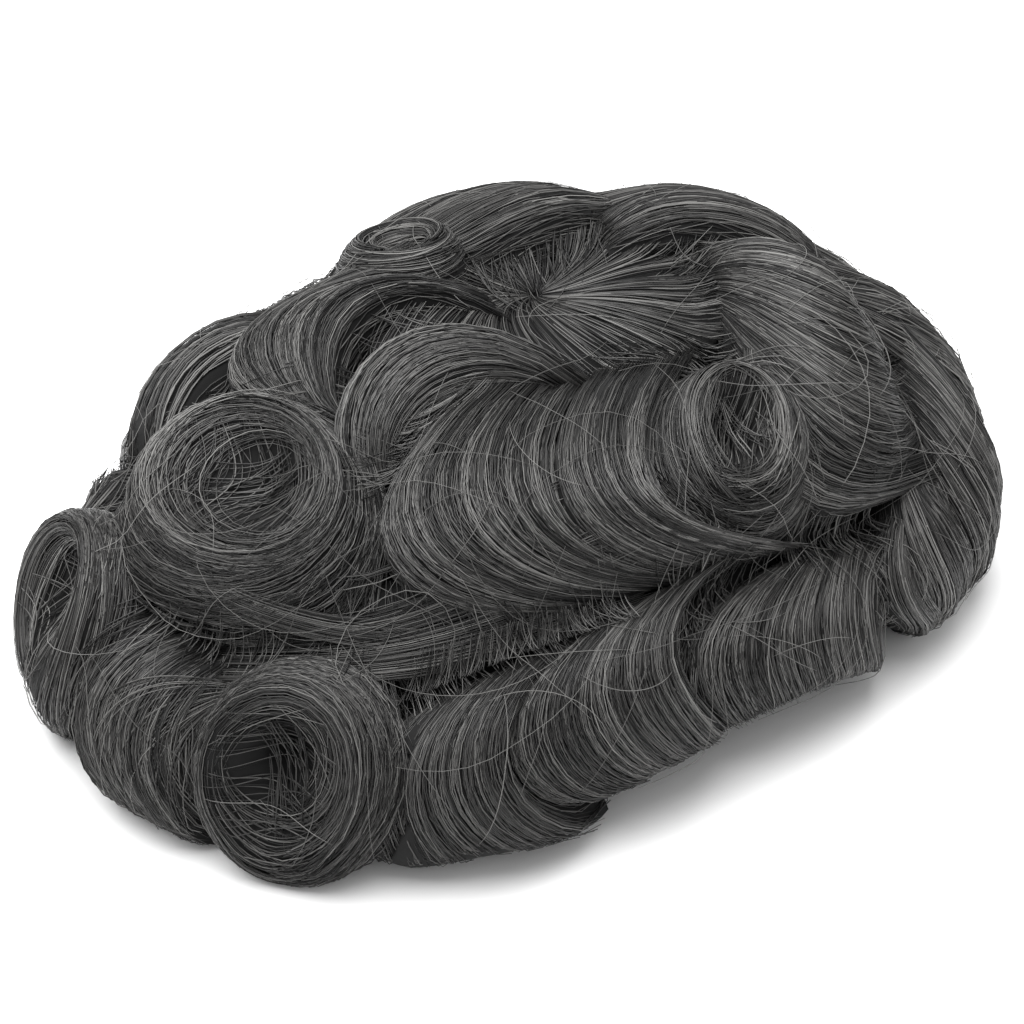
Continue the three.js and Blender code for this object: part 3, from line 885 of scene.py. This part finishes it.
class Relief:
    """How high the hair is over every place of the map, all of it and what lies over each lock."""

    STEP = 0.01
    REACH = 1.45
    OPEN = 1.0
    SAMPLES = 260
    SOFT = 3.0
    BROAD = 8.0
    FINE = 1.0

    def __init__(self, locks: tuple[Lock, ...]) -> None:
        """Take the surfaces of the locks.

        Args:
            locks: All the locks.
        """
        self.size = round(2 * self.REACH / self.STEP) + 1
        shares = np.linspace(0, 1, self.SAMPLES)
        first, second = (axis.ravel() for axis in np.meshgrid(shares, shares))
        self.heights = {}
        for lock in locks:
            p, q, lift = lock.shell_surface(first, second)
            height = np.full((self.size, self.size), -np.inf)
            cells = [np.rint((place + self.REACH) / self.STEP).astype(int) for place in (p, q)]
            np.maximum.at(height, tuple(np.clip(cell, 0, self.size - 1) for cell in cells), lift)
            self.heights[lock.name] = (lock.layer, height)
        highest = np.maximum.reduce([height for _, height in self.heights.values()])
        self.top = np.maximum(highest, SCALP.bed)
        self.soft = self.blurred(self.top, self.SOFT)
        self.seams = self.blurred(self.top, self.BROAD) - self.blurred(self.top, self.FINE)

    def over(self, lock: Lock) -> np.ndarray:
        """Find how high the locks are that lie over one.

        Args:
            lock: The lock.

        Returns:
            The field of heights, with a large number where none lies over it.
        """
        higher = [height for layer, height in self.heights.values() if layer > lock.layer]
        if not higher:
            return np.full((self.size, self.size), self.OPEN)
        top = np.maximum.reduce(higher)
        return np.where(np.isfinite(top), top, self.OPEN)

    @staticmethod
    def blurred(values: np.ndarray, spread: float) -> np.ndarray:
        """Blur a field.

        Args:
            values: The field.
            spread: Over how many of its cells.

        Returns:
            The blurred field.
        """
        reach = np.arange(-int(3 * spread), int(3 * spread) + 1)
        kernel = np.exp(-0.5 * (reach / spread) ** 2)
        kernel /= kernel.sum()
        for axis in (0, 1):
            values = np.apply_along_axis(lambda line: np.convolve(line, kernel, mode="same"), axis, values)
        return values

    def read(self, values: np.ndarray, p: np.ndarray, q: np.ndarray) -> np.ndarray:
        """Read a field at places of the map.

        Args:
            values: The field.
            p: Map places to +X.
            q: Map places to the back.

        Returns:
            The field there, evened out between its cells.
        """
        x = np.clip((p + self.REACH) / self.STEP, 0, self.size - 1.001)
        y = np.clip((q + self.REACH) / self.STEP, 0, self.size - 1.001)
        i, j = x.astype(int), y.astype(int)
        u, v = x - i, y - j
        low = values[i, j] * (1 - v) + values[i, j + 1] * v
        high = values[i + 1, j] * (1 - v) + values[i + 1, j + 1] * v
        return low * (1 - u) + high * u


@dataclass(frozen=True)
class Tress:
    """Loose strands that lie over the locks between two edge strands.

    Attributes:
        first: The strand at one edge.
        last: The strand at the other edge.
        count: How many strands.
        hover: How high over the hair they lie.
        light: How much lighter than common hair they are.
    """

    first: EdgeStrand
    last: EdgeStrand
    count: int
    hover: float = 0.5 * MM
    light: float = 0.0


TRESSES = (
    Tress(
        edge((-0.11, -0.62), (0.02, -0.72), (0.22, -0.66), (0.46, -0.48)),
        edge((0.07, -0.61), (0.16, -0.63), (0.28, -0.56), (0.4, -0.42)), 70,
    ),
    Tress(
        edge((-0.02, -0.29), (0.06, -0.26), (0.1, -0.16), (0.04, -0.04)),
        edge((0.07, -0.33), (0.14, -0.3), (0.17, -0.2), (0.11, -0.1)), 60, -1.0 * MM, 0.08,
    ),
    Tress(
        edge((0.5, -0.58), (0.49, -0.56), (0.47, -0.53), (0.43, -0.49)),
        edge((0.63, -0.16), (0.62, -0.165), (0.6, -0.17), (0.57, -0.17)), 190, 1.6 * MM, 0.1,
    ),
    Tress(
        edge((0.24, -0.74), (0.14, -0.78), (0.0, -0.84), (0.02, -1.0)),
        edge((0.26, -0.76), (0.2, -0.84), (0.2, -0.92), (0.34, -1.02)), 60,
    ),
    Tress(
        edge((0.24, -0.74), (0.27, -0.63), (0.42, -0.58), (0.56, -0.62)),
        edge((0.26, -0.74), (0.3, -0.66), (0.42, -0.63), (0.52, -0.67)), 50, 0.6 * MM, 0.06,
    ),
)


@dataclass
class Hair:
    """All the locks and the loose hairs over them.

    Attributes:
        finish: The hair's finish.
        seed: Where chance starts.
        relief: How high the hair is.
        filling_tries: How many short strands are tried for the seams.
        stray_count: How many single hairs lie over everything.
    """

    finish: HairFinish = field(default_factory=lambda: HairFinish("salt_and_pepper_hair"))
    seed: int = 7
    relief: Relief = field(default_factory=lambda: Relief(LOCKS))
    filling_tries: int = 13000
    stray_count: int = 210

    BODY_UNDER = 1.6 * MM
    BODY_CLEAR = 2.4 * MM
    BODY_IN_BED = 1 * MM
    BODY_ACROSS = 22
    BODY_ALONG = 26
    BRIDGE_UNDER = 3.2 * MM
    COMBED_CLEAR = 0.9 * MM
    BURIED = 3.2 * MM
    MOST_BURIED = 0.7
    WHITE_SHARE = 0.12
    SEAM_DEPTH = 2.2 * MM
    FILLING_REACH = 0.9
    FILLING_LENGTH = 0.1
    FILLING_DEPTH = 2.6 * MM
    FILLING_WIDTH = 0.36 * MM
    TRESS_DEPTH = 1.4 * MM
    TRESS_WIDTH = 0.3 * MM
    STRAY_REACH = 0.85
    STRAY_EDGE = 1.02
    STRAY_WIDTH = 0.22 * MM
    BED_AROUND = 80
    BED_DOWN = 24
    BED_UNDER = 1.6 * MM
    BED_STRANDS = 900
    BED_STRAND_REACH = 1.22
    BED_STRAND_LENGTH = 0.16
    BED_WIDTH = 0.4 * MM

    def shades(self, random: np.random.Generator, tuft: np.ndarray, rows: int) -> np.ndarray:
        """Pick how light each strand is: most are dark, some white, and tufts differ; every strand is also
        darker towards its root and tip, as painted shade in the grooves between the rolls.

        Args:
            random: The source of chance.
            tuft: The tuft that each strand is in.
            rows: How many points each strand has.

        Returns:
            Shades from 0 to 1, a row for each strand.
        """
        own = 0.05 + 0.5 * random.random(len(tuft)) ** 1.2
        white = random.random(len(tuft)) < self.WHITE_SHARE
        own = np.where(white, 0.46 + 0.2 * random.random(len(tuft)), own)
        own = own + 0.1 * np.sin(tuft * 2.4) + 0.06 * np.sin(tuft * 0.7 + 1)
        way = np.linspace(0.04, 0.96, rows)
        phase = 2 * np.pi * random.random(len(tuft))[:, None]
        drift = 0.07 * np.sin(2 * np.pi * way * (0.6 + 1.8 * random.random(len(tuft))[:, None]) + phase)
        # Darker towards both ends of each strand: painted shade at the roots and tips, where the rolls meet.
        return own[:, None] + drift - 0.16 * (1 - np.sin(np.pi * way)) ** 1.5

    def widths(self, random: np.random.Generator, count: int, rows: int, width: float) -> np.ndarray:
        """Taper strands to both ends.

        Args:
            random: The source of chance.
            count: How many strands.
            rows: How many points each has.
            width: The width of a common strand at its middle.

        Returns:
            Widths, a row for each strand.
        """
        own = width * (0.65 + 0.6 * random.random(count))
        taper = 0.3 + 0.7 * np.sin(np.pi * (0.08 + 0.84 * np.linspace(0, 1, rows))) ** 0.5
        return own[:, None] * taper

    def lock(self, lock: Lock, material: bpy.types.Material, random: np.random.Generator) -> None:
        """Build a lock's body and comb it.

        Args:
            lock: The lock.
            material: Its finish.
            random: The source of chance.
        """
        over = self.relief.over(lock)
        combing = COMBINGS[lock.side]

        def body(first: np.ndarray, second: np.ndarray, inner: bool) -> np.ndarray:
            """Find the body's faces under the strands and under the locks over it.

            Args:
                first: Shares across the grid.
                second: Shares along it.
                inner: Whether the inner face is asked for, which lies in the bed.

            Returns:
                The points.
            """
            p, q, lift = lock.shell_surface(first, second)
            lift = np.minimum(lift - self.BODY_UNDER, self.relief.read(over, p, q) - self.BODY_CLEAR)
            foot = np.full_like(lift, SCALP.bed - self.BODY_IN_BED)
            return SCALP.place(p, q, foot if inner else np.maximum(lift, SCALP.bed))[0]

        mesh = StrandMesh()
        # The body is near black: painted shade seen between the strands.
        mesh.add_body(draped_shell(body, self.BODY_ACROSS, self.BODY_ALONG), BODY_PAINTED_SHADE)
        p, q, lift, hang, tuft = lock.paths(combing, round(combing.density * lock.width()), random)
        sink = combing.depth * random.random(len(p)) ** 1.4 - 0.3 * MM + 0.3 * MM * np.sin(tuft * 5.1)
        bridge = self.relief.read(self.relief.soft, p, q) - self.BRIDGE_UNDER
        lift = np.maximum(lift, bridge) - sink[:, None]
        lift = np.minimum(lift, self.relief.read(over, p, q) - self.COMBED_CLEAR)
        buried = self.relief.read(self.relief.top, p, q) - lift > self.BURIED
        shown = buried.mean(axis=1) < self.MOST_BURIED
        p, q, lift, hang, tuft, sink = (values[shown] for values in (p, q, lift, hang, tuft, sink))
        lift = np.maximum(lift - hang, SCALP.bed * 0.6)
        count, rows = p.shape
        for _ in range(2):
            lift[:, 1:-1] = (lift[:, :-2] + 2 * lift[:, 1:-1] + lift[:, 2:]) / 4
        points, normals = SCALP.place(p, q, lift)
        # Strands that lie deeper are darker: painted shade.
        shades = self.shades(random, tuft, rows) - 30.0 * np.clip(sink, 0, 1)[:, None]
        mesh.add_strands(points, normals, self.widths(random, count, rows, combing.width), shades)
        mesh.build(f"{lock.name}_hair", material, "hair", lock.name)

    def tresses(self, mesh: StrandMesh, random: np.random.Generator) -> None:
        """Lay the tresses over the locks.

        Args:
            mesh: Takes the strands.
            random: The source of chance.
        """
        rows = 13
        for number, tress in enumerate(TRESSES):
            share = random.random(tress.count)
            start, stop = 0.12 * random.random(tress.count), 1 - 0.14 * random.random(tress.count)
            along = start[:, None] + (stop - start)[:, None] * np.linspace(0, 1, rows)
            bend = 0.04 * random.standard_normal(tress.count)
            spot = between(tress.first, tress.last, share[:, None] + bend[:, None] * (along - 0.3), along)
            lift = self.relief.read(self.relief.soft, spot[..., 0], spot[..., 1]) + tress.hover
            lift = lift - self.TRESS_DEPTH * random.random(tress.count)[:, None]
            points, normals = SCALP.place(spot[..., 0], spot[..., 1], lift)
            shades = self.shades(random, np.full(tress.count, float(number)), rows) + tress.light
            widths = self.widths(random, tress.count, rows, self.TRESS_WIDTH)
            mesh.add_strands(points, normals, widths, shades)

    def filling(self, material: bpy.types.Material, random: np.random.Generator) -> None:
        """Lay short hair in the seams between the locks: many strands are tried, and those in a seam stay.

        Args:
            material: Its finish.
            random: The source of chance.
        """
        rows, count = 6, self.filling_tries
        radius = self.FILLING_REACH * np.sqrt(random.random(count))
        bearing = 2 * np.pi * random.random(count)
        way = np.linspace(0, 1, rows)
        heading = bearing + 0.6 * np.sin(3 * bearing + 7 * radius) + 0.12 * random.standard_normal(count)
        turn = heading[:, None] + 0.25 * random.standard_normal(count)[:, None] * way
        step = (self.FILLING_LENGTH * (1 + random.random(count)) / (rows - 1))[:, None]
        p = (radius * np.cos(bearing))[:, None] + np.cumsum(np.cos(turn) * step, axis=1)
        q = (radius * np.sin(bearing))[:, None] + np.cumsum(np.sin(turn) * step, axis=1)
        low = self.relief.read(self.relief.seams, p, q).mean(axis=1) > self.SEAM_DEPTH
        p, q, bearing = p[low], q[low], bearing[low]
        count = len(p)
        lift = self.relief.read(self.relief.soft, p, q) - self.FILLING_DEPTH * random.random(count)[:, None]
        points, normals = SCALP.place(p, q, lift)
        # Hair in the seams is a little darker: painted shade between the locks.
        shades = self.shades(random, np.floor(bearing * 20), rows) - 0.03
        mesh = StrandMesh()
        widths = self.widths(random, count, rows, self.FILLING_WIDTH)
        mesh.add_strands(points, normals, widths, shades)
        mesh.build("filling_hair", material, "hair", None)

    def strays(self, mesh: StrandMesh, random: np.random.Generator) -> None:
        """Scatter single hairs in long bows over everything.

        Args:
            mesh: Takes the hairs.
            random: The source of chance.
        """
        rows, count = 15, self.stray_count
        radius = self.STRAY_REACH * np.sqrt(random.random(count))
        bearing = 2 * np.pi * random.random(count)
        heading = bearing + 1.2 * random.standard_normal(count)
        length = 0.18 + 0.45 * random.random(count) ** 1.5
        bend = 2.4 * random.standard_normal(count)
        way = np.linspace(0, 1, rows)
        turn = heading[:, None] + bend[:, None] * length[:, None] * way * 1.6
        step = (length / (rows - 1))[:, None]
        p = (radius * np.cos(bearing))[:, None] + np.cumsum(np.cos(turn) * step, axis=1)
        q = (radius * np.sin(bearing))[:, None] + np.cumsum(np.sin(turn) * step, axis=1)
        shrink = np.minimum(1, self.STRAY_EDGE / np.maximum(np.hypot(p, q), NO_LENGTH))
        p, q = p * shrink, q * shrink
        bow = np.sin(np.pi * way) * (0.6 + 2.2 * random.random(count) ** 2)[:, None] * MM
        lift = self.relief.read(self.relief.soft, p, q) + bow + 0.1 * MM
        points, normals = SCALP.place(p, q, lift)
        shades = np.repeat((0.42 + 0.3 * random.random(count))[:, None], rows, axis=1)
        widths = self.widths(random, count, rows, self.STRAY_WIDTH)
        mesh.add_strands(points, normals, widths, shades)

    def bed(self, material: bpy.types.Material, random: np.random.Generator) -> None:
        """Build the close hair that the locks stand on.

        Args:
            material: Its finish.
            random: The source of chance.
        """

        def dome(turn: np.ndarray, out: np.ndarray, inner: bool) -> np.ndarray:
            """Find the bed's faces.

            Args:
                turn: Shares of a turn about the crown.
                out: Shares from the crown to the lower edge.
                inner: Whether the inner face is asked for.

            Returns:
                The points.
            """
            angle, radius = turn * 2 * np.pi, out * SCALP.reach
            lift = np.full_like(out, SCALP.gap if inner else SCALP.bed - self.BED_UNDER)
            return SCALP.place(radius * np.cos(angle), radius * np.sin(angle), lift)[0]

        mesh = StrandMesh()
        # The bed's body is near black too: painted shade under the locks.
        mesh.add_body(draped_shell(dome, self.BED_AROUND, self.BED_DOWN), BODY_PAINTED_SHADE)
        count, rows = self.BED_STRANDS, 5
        radius = self.BED_STRAND_REACH * np.sqrt(random.random(count))
        angle = 2 * np.pi * random.random(count)
        way = np.linspace(0, self.BED_STRAND_LENGTH, rows)
        out = radius[:, None] + way
        turn = angle[:, None] + way * 2 * random.standard_normal(count)[:, None]
        out = np.minimum(out, SCALP.reach)
        bow = np.sin(np.pi * way / self.BED_STRAND_LENGTH)
        lift = SCALP.bed - 1.2 * MM + 1.4 * MM * random.random(count)[:, None] * bow
        points, normals = SCALP.place(out * np.cos(turn), out * np.sin(turn), lift)
        shades = self.shades(random, np.floor(angle * 9), rows)
        widths = self.widths(random, count, rows, self.BED_WIDTH)
        mesh.add_strands(points, normals, widths, shades)
        mesh.build("root_hair_bed", material, "root_hair", "root_hair")

    def build(self) -> None:
        """Build every lock and comb it, then the hair under and over them."""
        material = self.finish.material()
        for order, lock in enumerate(LOCKS):
            self.lock(lock, material, np.random.default_rng(self.seed * 1000 + order))
        self.bed(material, np.random.default_rng(self.seed))
        self.filling(material, np.random.default_rng(self.seed + 3))
        loose = StrandMesh()
        self.tresses(loose, np.random.default_rng(self.seed + 1))
        self.strays(loose, np.random.default_rng(self.seed + 2))
        loose.build("loose_hair", material, "hair", None)


@dataclass
class Cap:
    """The lace cap and its bound border."""

    lace: LaceFinish = field(default_factory=lambda: LaceFinish("lace_net"))
    border: LaceFinish = field(
        default_factory=lambda: LaceFinish("border_weave", (0.3, 0.23, 0.17), (0.17, 0.13, 0.1), 1500.0)
    )

    AROUND = 96
    DOWN = 20
    LACE_SHADE = 0.5

    def band(self, name: str, node: str, inner: float, outer: float, material: bpy.types.Material) -> None:
        """Build one part of the cap between two radii of the map.

        Args:
            name: The piece's name.
            node: The solid that it replaces.
            inner: The radius at its upper edge.
            outer: The radius at its lower edge.
            material: Its finish.
        """

        def wall(turn: np.ndarray, out: np.ndarray, inside: bool) -> np.ndarray:
            """Find the lace's faces.

            Args:
                turn: Shares of a turn about the crown.
                out: Shares from the inner radius to the outer one.
                inside: Whether the inner face is asked for.

            Returns:
                The points.
            """
            angle, radius = turn * 2 * np.pi, inner + (outer - inner) * out
            lift = np.full_like(out, -SCALP.wall if inside else 0.0)
            return SCALP.place(radius * np.cos(angle), radius * np.sin(angle), lift)[0]

        shell = StrandMesh()
        shell.add_body(draped_shell(wall, self.AROUND, self.DOWN), self.LACE_SHADE)
        shell.build(name, material, "lace", node)

    def build(self) -> None:
        """Build both parts."""
        share = SCALP.gap / (2 * SCALP.half_width)
        self.band("lace_top", "cap", 0.0, SCALP.seam - share, self.lace.material())
        self.band("lace_border", "cap_border", SCALP.seam + share, SCALP.reach, self.border.material())


@dataclass
class Studio:
    """The camera at the photograph's angle, a pale floor and soft light.

    Attributes:
        azimuth: The camera's bearing in degrees.
        elevation: Its angle over the table in degrees.
        distance: How far it is from its target.
        focal_pixels: Its focal length in pixels of the photograph.
        target_height: How high over the table it looks.
        shift_pixels: How far the photograph's frame is off its axis.
        lamp_distance: How far the lamp is from the target.
        sky: The strength of the light from all around.
        floor_size: The width of the floor.
    """

    azimuth: float = 52.0
    elevation: float = 37.0
    distance: float = 1.0
    focal_pixels: float = 3700.0
    target_height: float = 46 * MM
    shift_pixels: Pair = (-9.0, -54.0)
    lamp_distance: float = 1.3
    sky: float = 0.85
    floor_size: float = 12.0

    def target(self) -> Vector:
        """The point that the camera faces."""
        centre = SCALP.centre
        return Vector((centre.x, centre.y, self.target_height))

    def direction(self, azimuth: float, elevation: float) -> Vector:
        """The way from the object to a viewer or a lamp, for angles in degrees."""
        turn, tip = math.radians(azimuth), math.radians(elevation)
        return Vector((math.sin(turn) * math.cos(tip), -math.cos(turn) * math.cos(tip), math.sin(tip)))

    def camera(self) -> None:
        """Place the camera and make it the scene's."""
        data = bpy.data.cameras.new("camera")
        data.sensor_width = 36.0
        data.lens = self.focal_pixels / IMAGE_WIDTH * data.sensor_width
        data.shift_x, data.shift_y = (pixels / IMAGE_WIDTH for pixels in self.shift_pixels)
        camera = bpy.data.objects.new("camera", data)
        back = self.direction(self.azimuth, self.elevation)
        camera.location = self.target() + back * self.distance
        camera.rotation_euler = back.to_track_quat("Z", "Y").to_euler()
        bpy.context.scene.collection.objects.link(camera)
        bpy.context.scene.camera = camera

    def lamp(self, name: str, azimuth: float, elevation: float, size: float, power: float) -> None:
        """Hang a square softbox that faces the object.

        Args:
            name: Its name.
            azimuth: Its bearing, as the camera's is counted.
            elevation: Its angle over the table.
            size: Its width.
            power: Its power in watts.
        """
        data = bpy.data.lights.new(name, "AREA")
        data.shape, data.size, data.energy = "SQUARE", size, power
        lamp = bpy.data.objects.new(name, data)
        way = self.direction(azimuth, elevation)
        lamp.location = self.target() + way * self.lamp_distance
        lamp.rotation_euler = way.to_track_quat("Z", "Y").to_euler()
        bpy.context.scene.collection.objects.link(lamp)

    def floor(self) -> None:
        """Lay the pale floor."""
        shape = bmesh.new()
        bmesh.ops.create_grid(shape, x_segments=1, y_segments=1, size=self.floor_size / 2)
        mesh = bpy.data.meshes.new("floor")
        shape.to_mesh(mesh)
        shape.free()
        material = bpy.data.materials.new("pale_floor")
        material.use_nodes = True
        shader = material.node_tree.nodes["Principled BSDF"]
        shader.inputs["Base Color"].default_value = (0.9, 0.9, 0.9, 1)
        shader.inputs["Roughness"].default_value = 0.9
        mesh.materials.append(material)
        floor = bpy.data.objects.new("floor", mesh)
        bpy.context.scene.collection.objects.link(floor)

    def build(self) -> None:
        """Set up the whole studio."""
        self.camera()
        self.floor()
        self.lamp("key", azimuth=-48.0, elevation=78.0, size=1.6, power=46.0)
        world = bpy.data.worlds.new("studio")
        world.use_nodes = True
        world.node_tree.nodes["Background"].inputs["Color"].default_value = (1, 1, 1, 1)
        world.node_tree.nodes["Background"].inputs["Strength"].default_value = self.sky
        bpy.context.scene.world = world
        bpy.context.scene.view_settings.view_transform = "Standard"


def main() -> None:
    """Build the studio, the cap and the hair."""
    logging.basicConfig(level=logging.INFO, format="%(name)s: %(message)s")
    Studio().build()
    Cap().build()
    Hair().build()


if __name__ == "__main__":
    main()
